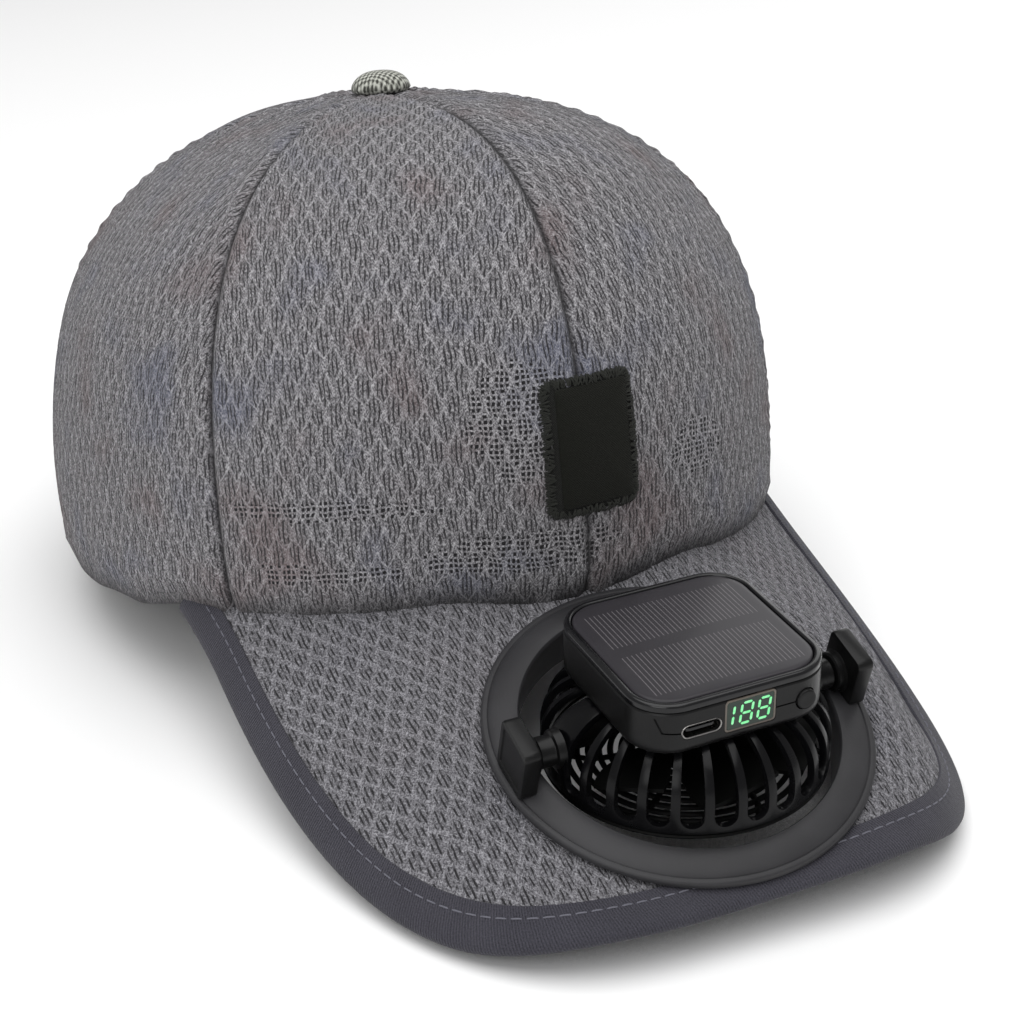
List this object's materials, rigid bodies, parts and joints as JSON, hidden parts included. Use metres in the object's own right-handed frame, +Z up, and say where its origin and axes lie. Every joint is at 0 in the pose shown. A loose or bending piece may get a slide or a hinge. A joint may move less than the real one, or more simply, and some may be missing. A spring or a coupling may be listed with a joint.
{
  "type": "solar fan hat",
  "caption": "Mesh baseball cap whose bill carries a tilting fan in a round ring, with a solar box, charging port, digit display and button on top of the fan cage.",
  "frame": {"origin": "on the surface that the hat lies on, under the middle of its box", "axes": "+Y from the bill to the back of the crown, +Z up, +X to the wearer's left"},
  "size_m": [0.1752, 0.2832, 0.1282],
  "materials": {
    "crown_mesh": "grey air-mesh knit, soft and matt",
    "bill_mesh": "grey air-mesh knit, a little darker, over a stiff board",
    "button_cloth": "light grey cloth stretched over a small dome",
    "binding_twill": "slate twill tape with one row of pale stitches",
    "patch_cloth": "black woven patch with an overlocked border",
    "matte_plastic": "fine-textured charcoal",
    "gloss_plastic": "polished black",
    "solar_cell": "dark cells with fine pale lines under a clear coat",
    "display": "dark window with pale green digits",
    "port_metal": "brushed sleeve round a black tongue"
  },
  "bodies": {
    "root": {"crown_front_left": "crown_mesh", "crown_front_right": "crown_mesh", "crown_side_left": "crown_mesh", "crown_side_right": "crown_mesh", "crown_back_left": "crown_mesh", "crown_back_right": "crown_mesh", "crown_button": "button_cloth", "front_patch": "patch_cloth", "bill": "bill_mesh", "bill_binding": "binding_twill", "fan_ring": "matte_plastic", "retaining_ring": "matte_plastic"},
    "fan_unit": {"fan_cage": "gloss_plastic", "lower_guard": "gloss_plastic", "fan_motor": "gloss_plastic", "solar_housing": "matte_plastic", "solar_panel": "solar_cell", "charging_port": "port_metal", "display_window": "display"},
    "rotor": {"fan_rotor": "gloss_plastic"},
    "power_button": {"power_button": "matte_plastic"}
  },
  "joints": [
    {"name": "fan_tilt", "type": "hinge", "parent": "root", "child": "fan_unit", "pos_m": [-0.00021, -0.10414, 0.0311], "axis": [0.999, -0.0134, 0.0415], "range_deg": [-15, 30]},
    {"name": "rotor_spin", "type": "hinge", "parent": "fan_unit", "child": "rotor", "pos_m": [-0.00021, -0.10414, 0.0311], "axis": [-0.0422, -0.0542, 0.9976], "continuous": true},
    {"name": "power_press", "type": "slide", "parent": "fan_unit", "child": "power_button", "axis": [0.0111, 0.9984, 0.0547], "range_m": [0, 0.0004], "stiffness_N_per_m": 1500}
  ]
}
